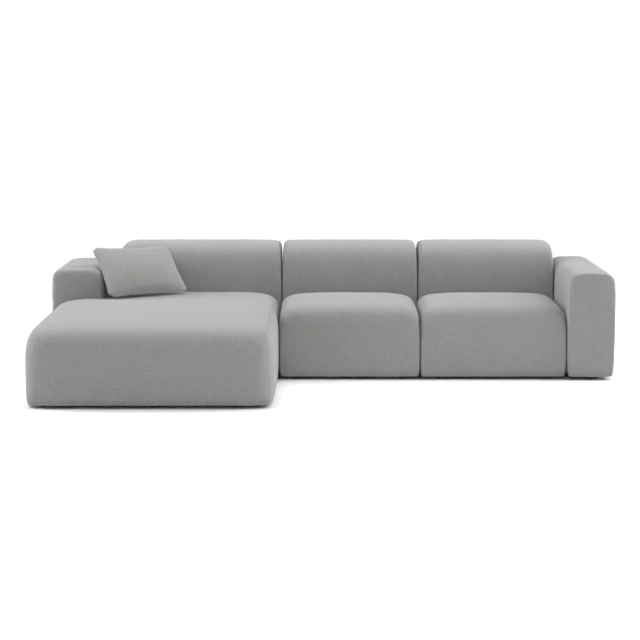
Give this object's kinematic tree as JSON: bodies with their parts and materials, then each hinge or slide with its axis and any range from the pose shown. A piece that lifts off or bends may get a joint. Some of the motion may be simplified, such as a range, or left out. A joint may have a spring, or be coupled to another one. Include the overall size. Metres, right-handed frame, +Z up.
{
  "type": "corner sofa",
  "caption": "Low modular corner sofa with a left-hand chaise, rounded foam seats and backs, block arms, short glides and a loose scatter cushion.",
  "frame": {"origin": "on the floor, under the middle of the sofa's box", "axes": "+X to the right as seen from the front, +Y to the rear, +Z up"},
  "size_m": [3.2422, 1.8245, 0.7222],
  "materials": {
    "grey_weave": "mid grey melange weave, soft and matt",
    "pale_foam": "cut upholstery foam, and fibre filling in the cushion",
    "pine": "planed pine rails, unfinished",
    "birch_plywood": "sanded birch plywood",
    "elastic_webbing": "woven elastic webbing",
    "black_lining": "thin black lining cloth",
    "zinc_plated_steel": "pressed steel, zinc plated",
    "black_plastic": "moulded black plastic"
  },
  "bodies": {
    "chaise_module": {"chaise_cover": "grey_weave", "chaise_foam": "pale_foam", "chaise_frame": "pine", "chaise_webbing": "elastic_webbing", "chaise_dust_cloth": "black_lining", "left_back_cover": "grey_weave", "left_back_foam": "pale_foam", "left_back_base": "pine", "left_back_board": "birch_plywood", "left_back_plate": "zinc_plated_steel", "left_arm_cover": "grey_weave", "left_arm_foam": "pale_foam", "left_arm_base": "pine", "left_arm_board": "birch_plywood", "left_arm_plate": "zinc_plated_steel", "chaise_hook_plate": "zinc_plated_steel", "chaise_foot_front_left": "black_plastic", "chaise_foot_front_right": "black_plastic", "chaise_foot_middle_left": "black_plastic", "chaise_foot_rear_left": "black_plastic", "chaise_foot_rear_right": "black_plastic"},
    "middle_module": {"middle_seat_cover": "grey_weave", "middle_seat_foam": "pale_foam", "middle_seat_frame": "pine", "middle_seat_webbing": "elastic_webbing", "middle_seat_dust_cloth": "black_lining", "middle_back_cover": "grey_weave", "middle_back_foam": "pale_foam", "middle_back_base": "pine", "middle_back_board": "birch_plywood", "middle_back_plate": "zinc_plated_steel", "middle_slot_plate": "zinc_plated_steel", "middle_hook_plate": "zinc_plated_steel", "middle_foot_front_left": "black_plastic", "middle_foot_front_right": "black_plastic", "middle_foot_rear_left": "black_plastic", "middle_foot_rear_right": "black_plastic"},
    "right_module": {"right_seat_cover": "grey_weave", "right_seat_foam": "pale_foam", "right_seat_frame": "pine", "right_seat_webbing": "elastic_webbing", "right_seat_dust_cloth": "black_lining", "right_back_cover": "grey_weave", "right_back_foam": "pale_foam", "right_back_base": "pine", "right_back_board": "birch_plywood", "right_back_plate": "zinc_plated_steel", "right_arm_cover": "grey_weave", "right_arm_foam": "pale_foam", "right_arm_base": "pine", "right_arm_board": "birch_plywood", "right_arm_plate": "zinc_plated_steel", "right_slot_plate": "zinc_plated_steel", "right_foot_front_left": "black_plastic", "right_foot_front_right": "black_plastic", "right_foot_rear_left": "black_plastic", "right_foot_rear_right": "black_plastic"},
    "scatter_cushion": {"scatter_cushion_cover": "grey_weave", "scatter_cushion_filling": "pale_foam"}
  },
  "joints": [
    {"name": "middle_module_lift", "type": "slide", "parent": "chaise_module", "child": "middle_module", "axis": [0, 0, 1], "range_m": [0, 0.06]},
    {"name": "right_module_lift", "type": "slide", "parent": "middle_module", "child": "right_module", "axis": [0, 0, 1], "range_m": [0, 0.06]},
    {"name": "scatter_cushion_lift", "type": "slide", "parent": "chaise_module", "child": "scatter_cushion", "axis": [0, 0, 1], "range_m": [0, 0.3]}
  ]
}
